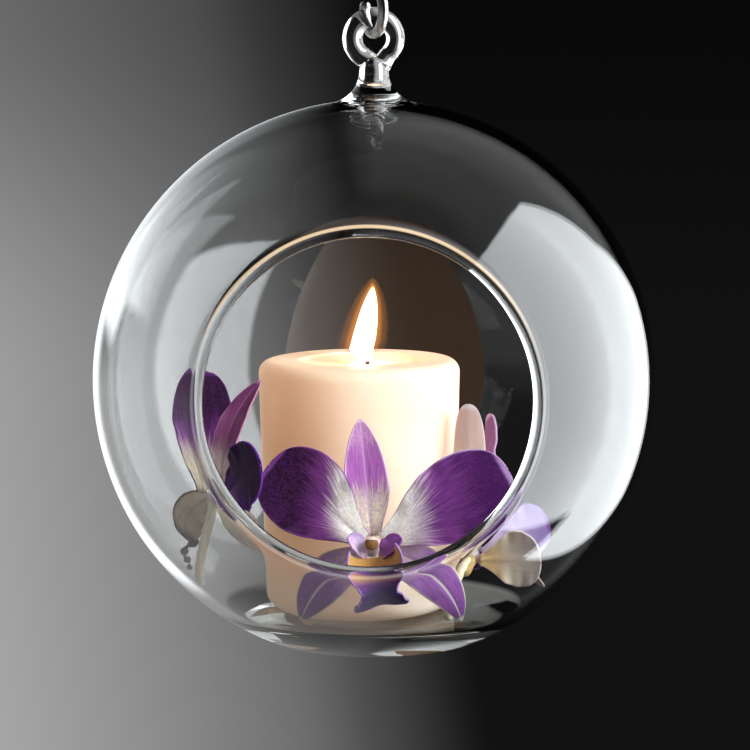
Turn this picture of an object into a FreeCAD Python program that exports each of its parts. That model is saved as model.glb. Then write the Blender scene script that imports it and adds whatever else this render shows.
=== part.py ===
import FreeCAD, Part
import math
import os

# A hanging candle holder: a hand-blown glass globe with a round opening and a glass eye,
# hung on a steel S-hook. A pillar candle stands inside, with three orchid blooms round it.
# Millimetres and degrees. The origin is the centre of the flat foot, +Z is up, and the
# opening faces -Y.

# Globe
globe_diameter = 150.0
glass_wall = 2.4
foot_drop = 4.5            # how far the foot is flattened into the sphere
foot_blend_radius = 20.0
floor_thickness = 9.4      # heavy base of pooled glass under the candle
floor_blend_radius = 8.0
opening_diameter = 85.8    # measured on the middle of the fire-polished rim
opening_tilt = 1.2         # the opening looks up by this much
rim_bead_diameter = 3.2

# Neck and eye, drawn from one glass rod
neck_foot_diameter = 18.8
neck_diameter = 7.8
neck_height = 8.3          # from the neck's foot to its narrowest place
neck_flare_width = 0.24    # the flare's middle point, as a share of the way from neck to foot
neck_flare_height = 0.53   # the same point, as a share of the neck's height
eye_rod_diameter = 5.4
eye_hole_diameter = 6.0
eye_above_neck = 8.3       # centre of the eye over the narrowest place
eye_root_shift = 0.3       # the rod rises a little right of the neck's axis
eye_root_depth = 1.2       # how far the rod's foot is melted into the neck
eye_tail_angle = 252.0     # where the curled rod ends, counted from +X
weld_diameter = 12.4       # lens of glass under the neck, inside the globe
weld_depth = 0.9

# Steel hook
hook_wire_diameter = 2.8
hook_bend_radius = 6.0     # on the wire's centre line
hook_bend_spacing = 30.0
hook_yaw = 25.0
hook_tip_angle = 168.0
hook_play = 0.3            # gap between the wire and the eye

# Candle and wick
candle_diameter = 54.0
candle_foot_diameter = 51.0
candle_height = 67.2
candle_shoulder_radius = 3.6
candle_foot_radius = 4.0
candle_offset = -3.8       # the candle stands a little left of the globe's axis
melt_pool_diameter = 30.0
melt_pool_depth = 1.6
wick_diameter = 1.6
wick_offset = 2.0          # the wick is not quite in the middle
wick_free_length = 5.0
wick_curl_radius = 4.0
wick_curl_angle = 50.0
wick_depth = 52.0
wick_play = 0.1

# Orchid blooms
tepal_thickness = 0.8
heart_diameter = 4.6       # the knot of tissue that carries the petals
petal_play = 0.3           # gap between the heart and each petal
column_diameter = 3.0
column_length = 4.6
anther_diameter = 3.45
stem_diameter = 2.2
stem_play = 0.3            # gap between a stem's end and the glass that it leans on
spur_diameter = 4.4
spur_neck_diameter = 3.6
tip_thinning = 0.45        # share of its thickness that a tepal loses towards its tip
cup_run = 0.6              # share of its length over which a tepal's cup changes
sway_start = 4.0           # a swaying tepal leaves the heart sideways by this much of its sway

globe_radius = globe_diameter / 2.0
cavity_radius = globe_radius - glass_wall
globe_centre_height = globe_radius - foot_drop
globe_centre = FreeCAD.Vector(0, 0, globe_centre_height)
arc_middle_angle = 10.0    # a point on the wall's long arcs, a little above the equator
UP = FreeCAD.Vector(0, 0, 1)


def vector(x, y, z):
    return FreeCAD.Vector(x, y, z)


def side_point(radius, height):
    return FreeCAD.Vector(radius, 0, height)


def arc(first, middle, last):
    return Part.Arc(first, middle, last).toShape()


def line(first, last):
    return Part.LineSegment(first, last).toShape()


def sphere_point(radius, angle):
    """Point on the globe's section, at an angle above its equator."""
    angle = math.radians(angle)
    return side_point(radius * math.cos(angle), globe_centre_height + radius * math.sin(angle))


def turned(edges):
    """Solid of revolution about the globe's axis."""
    return Part.Face(Part.Wire(edges)).revolve(vector(0, 0, 0), UP, 360)


def blended_bowl(radius, flat_height, blend_radius):
    """Where a flat bottom blends into a sphere: end of the flat, middle and end of the blend,
    and the angle at which the sphere takes over."""
    drop = globe_centre_height - flat_height - blend_radius
    flat = math.sqrt((radius - blend_radius) ** 2 - drop ** 2)
    start_angle = -math.degrees(math.atan2(drop, flat))
    middle_angle = math.radians((start_angle - 90.0) / 2.0)
    middle = side_point(flat + blend_radius * math.cos(middle_angle),
                        flat_height + blend_radius + blend_radius * math.sin(middle_angle))
    return side_point(flat, flat_height), middle, start_angle


def bent_rod(bends, diameter):
    """Round rod through straight runs and arcs, each given by its points, with rounded ends."""
    radius = diameter / 2.0
    rod = Part.makeSphere(radius, bends[0][0]).fuse(Part.makeSphere(radius, bends[-1][-1]))
    for points in bends:
        first = points[0]
        if len(points) == 2:
            run = points[1] - first
            rod = rod.fuse(Part.makeCylinder(radius, run.Length, first, run))
            continue
        bend = arc(*points)
        tangent = bend.tangentAt(bend.FirstParameter)
        section = Part.Face(Part.Wire(Part.makeCircle(radius, first, tangent)))
        angle = math.degrees(bend.LastParameter - bend.FirstParameter)
        rod = rod.fuse(section.revolve(bend.Curve.Center, bend.Curve.Axis, angle))
    return rod.removeSplitter()


def dish_middle(edge, tip):
    """Point half way along a dish that is part of a sphere on the axis through its tip."""
    depth = edge.z - tip.z
    span = edge.x - tip.x
    radius = (span ** 2 + depth ** 2) / (2.0 * depth)
    middle_span = span / 2.0
    return side_point(tip.x + middle_span, tip.z + radius - math.sqrt(radius ** 2 - middle_span ** 2))


# Glass globe
def globe_body():
    flat, blend, angle = blended_bowl(globe_radius, 0.0, foot_blend_radius)
    neck_foot = neck_foot_diameter / 2.0
    neck_radius = neck_diameter / 2.0
    top_angle = math.degrees(math.acos(neck_foot / globe_radius))
    neck_foot_point = sphere_point(globe_radius, top_angle)
    waist = side_point(neck_radius, neck_foot_point.z + neck_height)
    flare = side_point(neck_radius + neck_flare_width * (neck_foot - neck_radius),
                       neck_foot_point.z + neck_flare_height * neck_height)
    crown = side_point(0, waist.z + neck_radius)
    crown_middle = side_point(neck_radius * math.sqrt(0.5), waist.z + neck_radius * math.sqrt(0.5))
    outside = turned([
        line(side_point(0, 0), flat),
        arc(flat, blend, sphere_point(globe_radius, angle)),
        arc(sphere_point(globe_radius, angle), sphere_point(globe_radius, arc_middle_angle),
            neck_foot_point),
        arc(neck_foot_point, flare, waist),
        arc(waist, crown_middle, crown),
        line(crown, side_point(0, 0)),
    ])
    flat, blend, angle = blended_bowl(cavity_radius, floor_thickness, floor_blend_radius)
    weld_radius = weld_diameter / 2.0
    weld_angle = math.degrees(math.acos(weld_radius / cavity_radius))
    weld_edge = sphere_point(cavity_radius, weld_angle)
    weld_tip = side_point(0, weld_edge.z - weld_depth)
    inside = turned([
        line(side_point(0, floor_thickness), flat),
        arc(flat, blend, sphere_point(cavity_radius, angle)),
        arc(sphere_point(cavity_radius, angle), sphere_point(cavity_radius, arc_middle_angle),
            weld_edge),
        arc(weld_edge, dish_middle(weld_edge, weld_tip), weld_tip),
        line(weld_tip, side_point(0, floor_thickness)),
    ])
    return outside.cut(inside), waist.z


opening_direction = vector(0, -math.cos(math.radians(opening_tilt)), math.sin(math.radians(opening_tilt)))


def cut_opening(body):
    """The opening is cut square to the wall, by a cone from the globe's centre to outside its
    wall, then melted round into a bead."""
    middle_radius = globe_radius - glass_wall / 2.0
    rim_radius = opening_diameter / 2.0
    rim_depth = math.sqrt(middle_radius ** 2 - rim_radius ** 2)
    end_depth = globe_radius + glass_wall
    cutter = Part.makeCone(0.0, rim_radius * end_depth / rim_depth, end_depth, globe_centre,
                           opening_direction)
    bead = Part.makeTorus(rim_radius, rim_bead_diameter / 2.0,
                          globe_centre + opening_direction * rim_depth, opening_direction)
    return body.cut(cutter).fuse(bead)


def eye_rod(waist_height):
    """The rod rises from the neck, loops over and curls back on itself."""
    rod_radius = eye_rod_diameter / 2.0
    loop_radius = eye_hole_diameter / 2.0 + rod_radius
    centre = side_point(0, waist_height + eye_above_neck)
    root = side_point(eye_root_shift, waist_height - eye_root_depth)
    to_root = root - centre
    root_angle = math.degrees(math.atan2(to_root.z, to_root.x))
    touch_angle = root_angle + math.degrees(math.acos(loop_radius / to_root.Length))

    def on_loop(angle):
        angle = math.radians(angle)
        return centre + side_point(loop_radius * math.cos(angle), loop_radius * math.sin(angle))

    middle_angle = (touch_angle + eye_tail_angle) / 2.0
    rod = bent_rod([
        (root, on_loop(touch_angle)),
        (on_loop(touch_angle), on_loop(middle_angle), on_loop(eye_tail_angle)),
    ], eye_rod_diameter)
    return rod, centre


body, waist_height = globe_body()
eye, eye_centre = eye_rod(waist_height)
globe = cut_opening(body).fuse(eye).removeSplitter()


# Steel hook
def steel_hook():
    wire_radius = hook_wire_diameter / 2.0
    low = eye_centre.z + eye_hole_diameter / 2.0 - hook_play - wire_radius
    lower_centre = low + hook_bend_radius
    upper_centre = lower_centre + hook_bend_spacing
    lean = math.degrees(math.asin(2.0 * hook_bend_radius / hook_bend_spacing))
    yaw = math.radians(hook_yaw)

    def bend_point(centre_height, angle):
        angle = math.radians(angle)
        out = hook_bend_radius * math.cos(angle)
        return vector(out * math.sin(yaw), -out * math.cos(yaw),
                      centre_height + hook_bend_radius * math.sin(angle))

    lower_tip = bend_point(lower_centre, hook_tip_angle)
    lower_end = bend_point(lower_centre, 360.0 + lean)
    upper_start = bend_point(upper_centre, 180.0 + lean)
    upper_tip = bend_point(upper_centre, hook_tip_angle - 180.0)
    return bent_rod([
        (lower_tip, bend_point(lower_centre, 270.0), lower_end),
        (lower_end, upper_start),
        (upper_start, bend_point(upper_centre, 90.0), upper_tip),
    ], hook_wire_diameter)


# Candle and wick
def pillar_candle():
    top = floor_thickness + candle_height
    foot = candle_foot_diameter / 2.0
    head = candle_diameter / 2.0
    edge = candle_foot_radius
    shoulder = candle_shoulder_radius
    pool = melt_pool_diameter / 2.0
    pool_floor = side_point(0, top - melt_pool_depth)
    bevel = 1.0 - math.sqrt(0.5)
    candle = turned([
        line(side_point(0, floor_thickness), side_point(foot - edge, floor_thickness)),
        arc(side_point(foot - edge, floor_thickness),
            side_point(foot - edge * bevel, floor_thickness + edge * bevel),
            side_point(foot, floor_thickness + edge)),
        line(side_point(foot, floor_thickness + edge), side_point(head, top - shoulder)),
        arc(side_point(head, top - shoulder),
            side_point(head - shoulder * bevel, top - shoulder * bevel),
            side_point(head - shoulder, top)),
        line(side_point(head - shoulder, top), side_point(pool, top)),
        arc(side_point(pool, top), dish_middle(side_point(pool, top), pool_floor), pool_floor),
        line(pool_floor, side_point(0, floor_thickness)),
    ])
    candle.translate(vector(candle_offset, 0, 0))
    wick_hole = Part.makeCylinder(wick_diameter / 2.0 + wick_play, candle_height,
                                  vector(candle_offset + wick_offset, 0, top - wick_depth - wick_play))
    return candle.cut(wick_hole)


def cotton_wick():
    top = floor_thickness + candle_height
    foot = vector(candle_offset + wick_offset, 0, top - wick_depth + wick_diameter / 2.0)
    bend = vector(foot.x, 0, top + wick_free_length / 2.0)
    curl_centre = bend + vector(wick_curl_radius, 0, 0)

    def on_curl(angle):
        angle = math.radians(180.0 - angle)
        return curl_centre + side_point(wick_curl_radius * math.cos(angle),
                                        wick_curl_radius * math.sin(angle))

    return bent_rod([
        (foot, bend),
        (bend, on_curl(wick_curl_angle / 2.0), on_curl(wick_curl_angle)),
    ], wick_diameter)


# Orchid blooms
# A tepal is lofted through thin curved sections along a bowed midrib.
# Stations along the length, from root to tip.
stations = (0.0, 0.14, 0.3, 0.48, 0.66, 0.82, 0.93, 1.0)


def unit(direction):
    length = direction.Length
    return vector(direction.x / length, direction.y / length, direction.z / length)


def tepal_width(share, widest, root_share, tip_power):
    """Half width as a share of the widest, at a share of the length."""
    root_hollow = 1.4
    tip_share = 0.07
    if share < widest:
        swell = math.sin(math.pi / 2.0 * share / widest) ** root_hollow
        return root_share + (1.0 - root_share) * swell
    past = (share - widest) / (1.0 - widest)
    return max((1.0 - past ** 2) ** tip_power, tip_share)


def lip_width(share):
    """Side lobes near the root, a narrow waist, then the broad frilled end."""
    middle_width = 0.74
    swell = 0.16
    side_lobes_at = 0.16
    end_lobe_at = 0.82
    end_rounding = 0.2
    turn = (share - side_lobes_at) / (end_lobe_at - side_lobes_at)
    lobes = middle_width + swell * math.cos(2.0 * math.pi * turn)
    if share < end_lobe_at:
        return lobes
    return lobes * math.sqrt(1.0 - ((share - end_lobe_at) / end_rounding) ** 2)


def thin_section(middle, across, out, half_width, cup, thickness):
    """Thin curved section of even thickness. A positive cup turns the edges outwards."""
    rise = abs(cup) * half_width
    radius = (half_width ** 2 + rise ** 2) / (2.0 * rise)
    half_angle = 2.0 * math.atan2(rise, half_width)
    towards = out if cup > 0 else out * -1.0
    centre = middle + towards * radius

    def at(angle, offset):
        spoke = across * math.sin(angle) - towards * math.cos(angle)
        return centre + spoke * (radius + offset)

    outer = thickness / 2.0
    inner = -thickness / 2.0
    return Part.Wire([
        arc(at(-half_angle, outer), at(0, outer), at(half_angle, outer)),
        line(at(half_angle, outer), at(half_angle, inner)),
        arc(at(half_angle, inner), at(0, inner), at(-half_angle, inner)),
        line(at(-half_angle, inner), at(-half_angle, outer)),
    ])


def midrib(chord, face, bow, sway):
    """Directions of a midrib: along its chord, out of the side it shows, and how it bulges."""
    along = unit(chord)
    out = unit(face - along * face.dot(along))
    return along, out, out * bow + along.cross(out) * sway


def tepal(root, tip, face, width, bow, sway, cup, end_cup, shape):
    """Solid petal, sepal or lip from root to tip. face is the side it shows, bow is how far the
    midrib bulges towards it and sway how far it bends sideways, as shares of the length. cup is
    how deep the root is across, and end_cup the rest."""
    chord = tip - root
    length = chord.Length
    along, out, bulge = midrib(chord, face, bow, sway)
    sections = []
    for share in stations:
        middle = root + chord * share + bulge * (length * 4.0 * share * (1.0 - share))
        tangent = unit(along + bulge * (4.0 * (1.0 - 2.0 * share)))
        normal = unit(out - tangent * out.dot(tangent))
        side = tangent.cross(normal)
        depth = cup + (end_cup - cup) * min(share / cup_run, 1.0)
        thickness = tepal_thickness * (1.0 - tip_thinning * share)
        sections.append(thin_section(middle, side, normal, width / 2.0 * shape(share), depth, thickness))
    return Part.makeLoft(sections, True, False)


def petal_shape(share):
    return tepal_width(share, widest=0.62, root_share=0.2, tip_power=0.36)


def sepal_shape(share):
    return tepal_width(share, widest=0.4, root_share=0.42, tip_power=0.75)


def wall_place(azimuth, height, setback):
    """A place at a height over the globe's glass floor, set back from its inner wall. Azimuth 0
    is the opening's side."""
    azimuth = math.radians(azimuth)
    drop = globe_centre_height - floor_thickness - height
    out = math.sqrt((cavity_radius - setback) ** 2 - drop ** 2)
    return vector(out * math.sin(azimuth), -out * math.cos(azimuth), floor_thickness + height)


def flower_stem(heart, facing, stem_end, stem_bow, spur):
    """Heart, column and stem of a bloom in one piece. The stem's middle bows out of the straight
    line from the heart to its end."""
    core = Part.makeSphere(heart_diameter / 2.0, heart)
    facing = unit(facing)
    column_end = heart + facing * (heart_diameter / 2.0 + column_length - column_diameter / 2.0)
    core = core.fuse(Part.makeCylinder(column_diameter / 2.0, (column_end - heart).Length, heart, facing))
    core = core.fuse(Part.makeSphere(anther_diameter / 2.0, column_end))
    if spur is not None:
        spur_end = heart + spur
        core = core.fuse(Part.makeCylinder(spur_neck_diameter / 2.0, spur.Length, heart, spur))
        core = core.fuse(Part.makeSphere(spur_diameter / 2.0, spur_end))
    bend = (heart + stem_end) * 0.5 + stem_bow
    return core.fuse(bent_rod([(heart, bend, stem_end)], stem_diameter)).removeSplitter()


tepal_shapes = {"petal": petal_shape, "sepal": sepal_shape, "lip": lip_width}


def bloom(name, heart, facing, stem_end, stem_bow, spur, tepals):
    """All pieces of one bloom. Each row of tepals is a name, the kind, the tip counted from the
    heart, the side it shows, its width, bow, sway, cup and end cup, and how far forward it sits."""
    pieces = {name + "_stem": flower_stem(heart, facing, stem_end, stem_bow, spur)}
    facing = unit(facing)
    reach = (heart_diameter + tepal_thickness) / 2.0 + petal_play
    for label, kind, tip, face, width, bow, sway, cup, end_cup, forward in tepals:
        along, out, sideways = midrib(tip, face, 0.0, sway)
        start = along + sideways * sway_start
        outward = unit(start - facing * start.dot(facing))
        root = heart + outward * reach + facing * forward
        pieces[name + "_" + label] = tepal(root, heart + tip, face, width, bow, sway, cup, end_cup,
                                           tepal_shapes[kind])
    return pieces


nodes = {
    "glass_globe": globe,
    "steel_hook": steel_hook(),
    "pillar_candle": pillar_candle(),
    "wick": cotton_wick(),
}

nodes.update(bloom(
    "front", wall_place(0.9, 23.5, 13.2), vector(0, -1.0, 0.26),
    wall_place(27.5, 8.5, 7.5), vector(-1.5, 4.0, 3.5), None, (
        ("dorsal_sepal", "sepal", vector(-3.4, 9.5, 31.8), vector(0.1, -1, 0.2),
         11.4, 0.03, 0.0, 0.16, 0.16, -1.6),
        ("left_petal", "petal", vector(-26.4, 4.0, 20.6), vector(0.1, -1, 0.2),
         22.0, 0.03, 0.0, 0.1, 0.1, 0.2),
        ("right_petal", "petal", vector(34.6, 0.0, 19.8), vector(-0.1, -1, 0.2),
         21.8, 0.03, 0.0, 0.1, 0.1, 0.2),
        ("left_sepal", "sepal", vector(-18.2, 8.2, -19.4), vector(-0.1, -1.0, 0.1),
         11.0, 0.1, 0.08, -0.12, -0.12, -1.6),
        ("right_sepal", "sepal", vector(22.4, 9.6, -19.4), vector(0.1, -1.0, 0.1),
         11.0, 0.1, -0.12, -0.12, -0.12, -1.6),
        ("lip", "lip", vector(2.3, 1.6, -14.2), vector(0, -1, 0.4),
         15.6, 0.32, 0.0, 1.2, 0.2, 2.0),
    )))

nodes.update(bloom(
    "left", wall_place(-55.0, 33.3, 16.4), vector(0.8, 0.5, 0.3),
    wall_place(-62.7, 10.6, stem_diameter / 2.0 + stem_play), vector(-0.3, -5.5, 2.35), None, (
        ("dorsal_sepal", "sepal", vector(11.4, 2.4, 30.6), vector(-0.4, -0.9, 0.2),
         7.2, 0.1, -0.07, 0.2, 0.2, 2.6),
        ("left_petal", "petal", vector(-4.8, 11.0, 32.0), vector(0.3, -0.9, 0.0),
         15.6, -0.02, 0.0, 0.1, 0.1, -2.5),
        ("right_petal", "petal", vector(12.6, -20.6, 11.6), vector(-0.86, -0.5, 0.0),
         17.6, 0.04, 0.0, 0.1, 0.1, 1.9),
        ("left_sepal", "sepal", vector(-6.4, 8.2, -13.0), vector(-0.1, -1.0, -0.2),
         10.4, 0.04, 0.24, -0.2, -0.2, 0.6),
        ("right_sepal", "sepal", vector(12.2, -6.0, -12.4), vector(0.2, -0.8, 0.5),
         7.4, 0.1, 0.0, -0.1, -0.1, 0.2),
        ("lip", "lip", vector(6.5, 3.0, -8.6), vector(0.5, 0.6, 0.5),
         9.0, 0.26, 0.0, 1.0, 0.2, 2.8),
    )))

nodes.update(bloom(
    "right", wall_place(51.7, 17.2, 17.9), vector(0.2, 0.95, 0.25),
    wall_place(32.0, 3.9, 4.1), vector(0.0, -2.0, 3.25), vector(-1.6, -4.0, -2.6), (
        ("dorsal_sepal", "petal", vector(-0.4, 3.2, 39.5), vector(0.3, 1.0, 0.1),
         8.8, 0.03, 0.0, 0.16, 0.16, -1.8),
        ("left_petal", "petal", vector(4.8, 18.2, 34.7), vector(1.0, 0.25, 0.0),
         15.0, 0.05, 0.0, 0.1, 0.1, 0.8),
        ("right_petal", "petal", vector(20.6, 5.2, 8.2), vector(0.2, 1.0, 0.3),
         16.0, 0.04, 0.0, 0.1, 0.1, 0.6),
        ("left_sepal", "petal", vector(18.2, -4.2, -0.1), vector(0.35, 1.0, 0.25),
         16.0, 0.1, 0.0, -0.1, -0.1, -2.0),
        ("right_sepal", "sepal", vector(20.2, 12.4, -10.9), vector(0.35, 0.3, 0.9),
         9.0, 0.1, 0.0, -0.1, -0.1, 0.9),
        ("lip", "lip", vector(0.6, 13.0, -6.0), vector(0.0, 0.3, 1.0),
         9.0, 0.16, 0.0, 1.0, 0.2, 3.0),
    )))

os.makedirs("parts", exist_ok=True)
for name, shape in nodes.items():
    solid = shape.Solids[0] if len(shape.Solids) == 1 else shape
    solid.exportStep("parts/" + name + ".step")
    print(name, "solids", len(shape.Solids), "valid", shape.isValid(), "volume", round(shape.Volume, 1))
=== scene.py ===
import math

import bmesh
import bpy
import numpy as np
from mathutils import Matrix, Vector


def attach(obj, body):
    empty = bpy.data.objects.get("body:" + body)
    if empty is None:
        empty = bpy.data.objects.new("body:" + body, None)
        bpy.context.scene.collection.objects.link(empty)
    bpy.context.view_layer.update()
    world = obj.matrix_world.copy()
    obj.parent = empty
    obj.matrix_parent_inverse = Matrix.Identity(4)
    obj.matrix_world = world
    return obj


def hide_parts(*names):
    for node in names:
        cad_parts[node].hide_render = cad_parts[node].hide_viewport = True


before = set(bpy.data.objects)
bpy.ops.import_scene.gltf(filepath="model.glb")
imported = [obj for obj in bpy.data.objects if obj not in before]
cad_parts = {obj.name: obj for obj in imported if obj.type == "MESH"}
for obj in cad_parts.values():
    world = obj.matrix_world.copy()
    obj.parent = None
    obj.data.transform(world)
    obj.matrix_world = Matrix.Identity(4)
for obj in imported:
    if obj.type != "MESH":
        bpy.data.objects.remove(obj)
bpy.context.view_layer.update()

# The camera looks a little down into the globe, from just right of its opening,
# with a long lens about ninety centimetres away.
globe_centre = Vector((0.0, 0.0, 0.0705))
camera_distance = 0.9
camera_azimuth = math.radians(1.5)
camera_elevation = math.radians(6.5)
towards_camera = Vector((math.sin(camera_azimuth) * math.cos(camera_elevation),
                         -math.cos(camera_azimuth) * math.cos(camera_elevation),
                         math.sin(camera_elevation)))
lens = bpy.data.cameras.new("camera")
lens.sensor_width = 36.0
lens.lens = 161.5
lens.shift_x = 0.0013
lens.shift_y = 0.0072
lens.clip_start = 0.05
camera = bpy.data.objects.new("camera", lens)
camera.location = globe_centre + towards_camera * camera_distance
camera.rotation_euler = (-towards_camera).to_track_quat("-Z", "Y").to_euler()
bpy.context.collection.objects.link(camera)
bpy.context.scene.camera = camera

# The globe is one piece of clear glass, blown by hand: a sphere with a pressed flat foot, a round
# opening melted to a bead, and a rod drawn out of the neck and curled round to an eye.
# The wall is built as one closed skin about the globe's axis, and the eye is fused to it.
globe_radius = 0.07494
blown_wave = 0.00004
wall = 0.0024
foot_height = -0.0705
foot_blend = 0.020
floor_height = -0.0611
floor_blend = 0.008
rim_radius = 0.0429
bead_radius = 0.0016
opening_tilt = math.radians(1.2)
opening_band = (43, -45)
neck_radius = 0.0039
waist_height = 0.0827
neck_flare = ((neck_radius, waist_height), (0.0040, 0.0788), (0.0056, 0.0762), (0.0100, 0.07427))
flare_angle = 82.34
weld_radius = 0.0062
weld_depth = 0.0009
longitudes = 256


class Value:
    """A shader socket in plain arithmetic: each operation adds its Math node."""

    def __init__(self, finish, socket):
        self.finish = finish
        self.socket = socket

    def maths(self, operation, first, second=0.0):
        return self.finish.node("ShaderNodeMath", {"operation": operation}, {0: first, 1: second})

    def __add__(self, other):
        return self.maths("ADD", self, other)

    __radd__ = __add__

    def __mul__(self, other):
        return self.maths("MULTIPLY", self, other)

    __rmul__ = __mul__

    def __sub__(self, other):
        return self.maths("SUBTRACT", self, other)

    def __rsub__(self, other):
        return self.maths("SUBTRACT", other, self)

    def __truediv__(self, other):
        return self.maths("DIVIDE", self, other)

    def __pow__(self, other):
        return self.maths("POWER", self, other)

    def __abs__(self):
        return self.maths("ABSOLUTE", self)

    def least(self, other):
        return self.maths("MINIMUM", self, other)

    def most(self, other):
        return self.maths("MAXIMUM", self, other)

    def step(self, low, high):
        """Smooth step from 0 at low to 1 at high."""
        return self.finish.node("ShaderNodeMapRange", {"interpolation_type": "SMOOTHSTEP"},
                                {"Value": self, "From Min": low, "From Max": high})


class Finish:
    """A procedural finish: a material or the world, its surface shader, and one way to add a node."""

    def __init__(self, owner):
        self.owner = owner
        owner.use_nodes = True
        self.tree = owner.node_tree
        self.surface = self.tree.nodes.get("Principled BSDF")
        self.output = next(n for n in self.tree.nodes if n.type.startswith("OUTPUT"))

    def node(self, kind, settings=None, sockets=None, output=0):
        added = self.tree.nodes.new(kind)
        for setting, value in (settings or {}).items():
            if setting == "stops":
                ramp = added.color_ramp
                while len(ramp.elements) < len(value):
                    ramp.elements.new(0.5)
                for element, (place, colour) in zip(ramp.elements, value):
                    element.position = place
                    element.color = (*colour, 1.0)
            else:
                setattr(added, setting, value)
        for socket, value in (sockets or {}).items():
            if isinstance(value, Value):
                self.tree.links.new(value.socket, added.inputs[socket])
            elif isinstance(value, (tuple, list, Vector)) and added.inputs[socket].type == "RGBA":
                added.inputs[socket].default_value = (*value, 1.0)
            else:
                added.inputs[socket].default_value = value
        return Value(self, added.outputs[output])

    def mix(self, share, first, second):
        return self.node("ShaderNodeMix", {"data_type": "RGBA"}, {0: share, 6: first, 7: second}, 2)

    def place(self):
        return self.node("ShaderNodeTexCoord", output="Object")

    def axes(self, vector):
        return [self.node("ShaderNodeSeparateXYZ", None, {0: vector}, i) for i in range(3)]

    def join(self, x, y, z):
        return self.node("ShaderNodeCombineXYZ", None, {0: x, 1: y, 2: z})

    def noise(self, vector, scale, detail=2.0, roughness=0.5):
        return self.node("ShaderNodeTexNoise", None, {"Vector": vector, "Scale": scale, "Detail": detail,
                                                      "Roughness": roughness})

    def bump(self, height, distance, strength=1.0):
        return self.node("ShaderNodeBump", None, {"Height": height, "Distance": distance,
                                                  "Strength": strength})

    def set(self, **sockets):
        for name, value in sockets.items():
            socket = self.surface.inputs[name.replace("_", " ")]
            if isinstance(value, Value):
                self.tree.links.new(value.socket, socket)
            elif socket.type == "RGBA":
                socket.default_value = (*value, 1.0)
            else:
                socket.default_value = value


def new_finish(name):
    return Finish(bpy.data.materials.new(name))


def shade(red, green, blue):
    """A colour as light, from its everyday numbers out of 255."""
    return tuple(((c / 255.0 + 0.055) / 1.055) ** 2.4 if c > 10 else c / 3294.6 for c in (red, green, blue))


def piece(name, points, faces, material):
    """A smooth piece from its points and faces, in one material."""
    mesh = bpy.data.meshes.new(name)
    mesh.from_pydata([tuple(p) for p in points], [], faces)
    mesh.update()
    mesh.materials.append(material)
    mesh.shade_smooth()
    made = bpy.data.objects.new(name, mesh)
    bpy.context.collection.objects.link(made)
    return made


def bake(made):
    """Works a piece's modifiers into a plain mesh."""
    bpy.context.view_layer.update()
    graph = bpy.context.evaluated_depsgraph_get()
    mesh = bpy.data.meshes.new_from_object(made.evaluated_get(graph))
    made.modifiers.clear()
    made.data = mesh
    mesh.shade_smooth()


def outward(made):
    """Turns all faces of a piece outwards."""
    shape = bmesh.new()
    shape.from_mesh(made.data)
    bmesh.ops.recalc_face_normals(shape, faces=shape.faces)
    shape.to_mesh(made.data)
    shape.free()
    made.data.shade_smooth()


def closed_faces(rings, segments, first, start, end):
    """Faces of a skin of rings, whose points count on from first, closed by a point at each end."""
    faces = []
    last = first + (rings - 1) * segments
    for n in range(segments):
        m = (n + 1) % segments
        faces += [(start, first + m, first + n), (end, last + n, last + m)]
        for low in range(first, last, segments):
            faces.append((low + n, low + m, low + segments + m, low + segments + n))
    return faces


def arc_row(centre, radius, first, last, count):
    """Points of a profile's arc as (radius from the axis, height), angles counted from the equator."""
    return [(centre[0] + radius * math.cos(a), centre[1] + radius * math.sin(a))
            for a in np.linspace(math.radians(first), math.radians(last), count)]


def bowl(radius, flat_height, blend):
    """Where a flat blends into the sphere: the blend's centre and the angle of its start."""
    drop = -flat_height - blend
    flat = math.sqrt((radius - blend) ** 2 - drop ** 2)
    return (flat, -drop), -math.degrees(math.atan2(drop, flat))


def sphere_rows(radius, first, counts, flat_height, blend):
    """A profile down the sphere, finer beside the opening, then round the blend and along the flat."""
    blend_centre, start = bowl(radius, flat_height, blend)
    rows = arc_row((0, 0), radius, first, opening_band[0], counts[0])[:-1]
    rows += arc_row((0, 0), radius, *opening_band, 80)
    rows += arc_row((0, 0), radius, opening_band[1], start, counts[1])[1:]
    rows += arc_row(blend_centre, blend, start, -90, 10)[1:]
    return rows + [(blend_centre[0] * share, flat_height) for share in (0.8, 0.6, 0.4, 0.2)]


def outer_profile():
    rows = arc_row((0.0, waist_height), neck_radius, 84, 8, 8)
    for t in np.linspace(0.0, 1.0, 18)[:-1]:
        weights = ((1 - t) ** 3, 3 * t * (1 - t) ** 2, 3 * t * t * (1 - t), t ** 3)
        rows.append(tuple(sum(w * p[i] for w, p in zip(weights, neck_flare)) for i in (0, 1)))
    rows += sphere_rows(globe_radius, flare_angle, (34, 20), foot_height, foot_blend)
    return rows, waist_height + neck_radius, foot_height


def inner_profile():
    radius = globe_radius - wall
    edge = math.sqrt(radius ** 2 - weld_radius ** 2)
    rows = [(weld_radius * share, edge - weld_depth * (1.0 - share ** 2)) for share in (0.25, 0.5, 0.75, 0.9)]
    weld_angle = math.degrees(math.acos(weld_radius / radius))
    rows += sphere_rows(radius, weld_angle, (36, 10), floor_height, floor_blend)
    return rows, edge - weld_depth, floor_height


opening_axis = np.array((0.0, -math.cos(opening_tilt), math.sin(opening_tilt)))
opening_right = np.array((1.0, 0.0, 0.0))
opening_up = np.cross(opening_right, opening_axis)
middle_radius = globe_radius - wall / 2.0
rim_angle = math.asin(rim_radius / middle_radius)
collar_angle = rim_angle + math.radians(3.4)


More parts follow.
